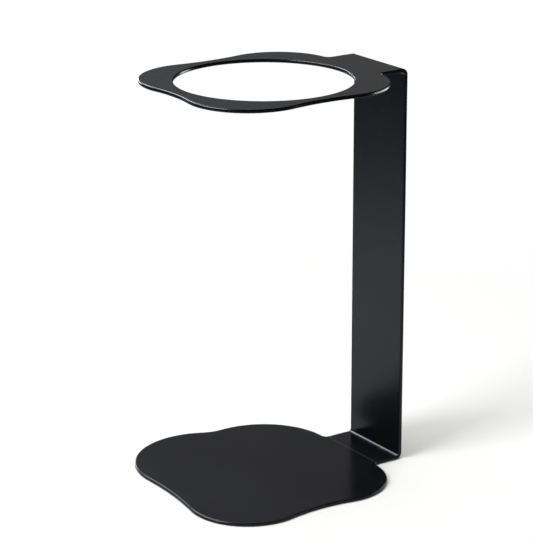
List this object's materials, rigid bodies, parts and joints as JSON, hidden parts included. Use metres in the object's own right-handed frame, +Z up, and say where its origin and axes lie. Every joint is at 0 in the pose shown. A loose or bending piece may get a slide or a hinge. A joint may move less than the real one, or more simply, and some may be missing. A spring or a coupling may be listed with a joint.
{
  "type": "pour over dripper stand",
  "caption": "Stand folded from one steel sheet: a wavy ring plate holds a coffee dripper over the server or cup that stands on the wavy base plate.",
  "frame": {"origin": "on the axis of the dripper hole, at the underside of the base plate, which is the floor", "axes": "+Z up along the dripper hole's axis, +Y from the hole towards the post, +X to the right seen from the open front"},
  "size_m": [0.124, 0.1301, 0.2125],
  "materials": {
    "powder_coat": "fine satin black powder coat on steel sheet"
  },
  "bodies": {
    "root": {"folded_stand": "powder_coat"}
  },
  "joints": []
}
